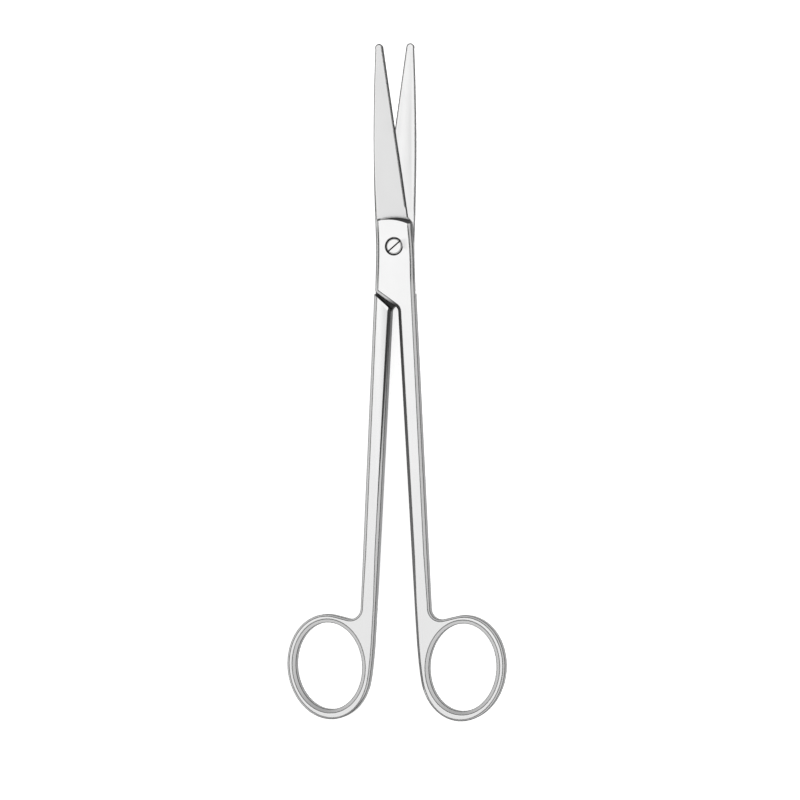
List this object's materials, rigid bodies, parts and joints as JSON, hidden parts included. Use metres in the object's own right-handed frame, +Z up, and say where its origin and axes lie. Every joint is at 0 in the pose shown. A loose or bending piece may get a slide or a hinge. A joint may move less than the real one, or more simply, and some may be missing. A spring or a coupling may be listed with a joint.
{
  "type": "surgical scissors",
  "caption": "Straight surgical scissors with a screwed lap joint, tapered blades, long shanks and oval finger rings.",
  "frame": {"origin": "on the pivot axis, at the level of the back faces that the scissors rest on", "axes": "+Y towards the tips, +Z up through the front half along the pivot, +X towards the front half's finger ring"},
  "size_m": [0.0756, 0.2301, 0.0048],
  "materials": {
    "forged_steel": "satin ground and polished",
    "screw_steel": "satin turned"
  },
  "bodies": {
    "rear": {"rear_half": "forged_steel", "pivot_screw": "screw_steel"},
    "front": {"front_half": "forged_steel"}
  },
  "joints": [
    {"name": "pivot", "type": "hinge", "parent": "rear", "child": "front", "pos_m": [0, 0, 0], "axis": [0, 0, 1], "range_deg": [-6.3, 125]}
  ]
}
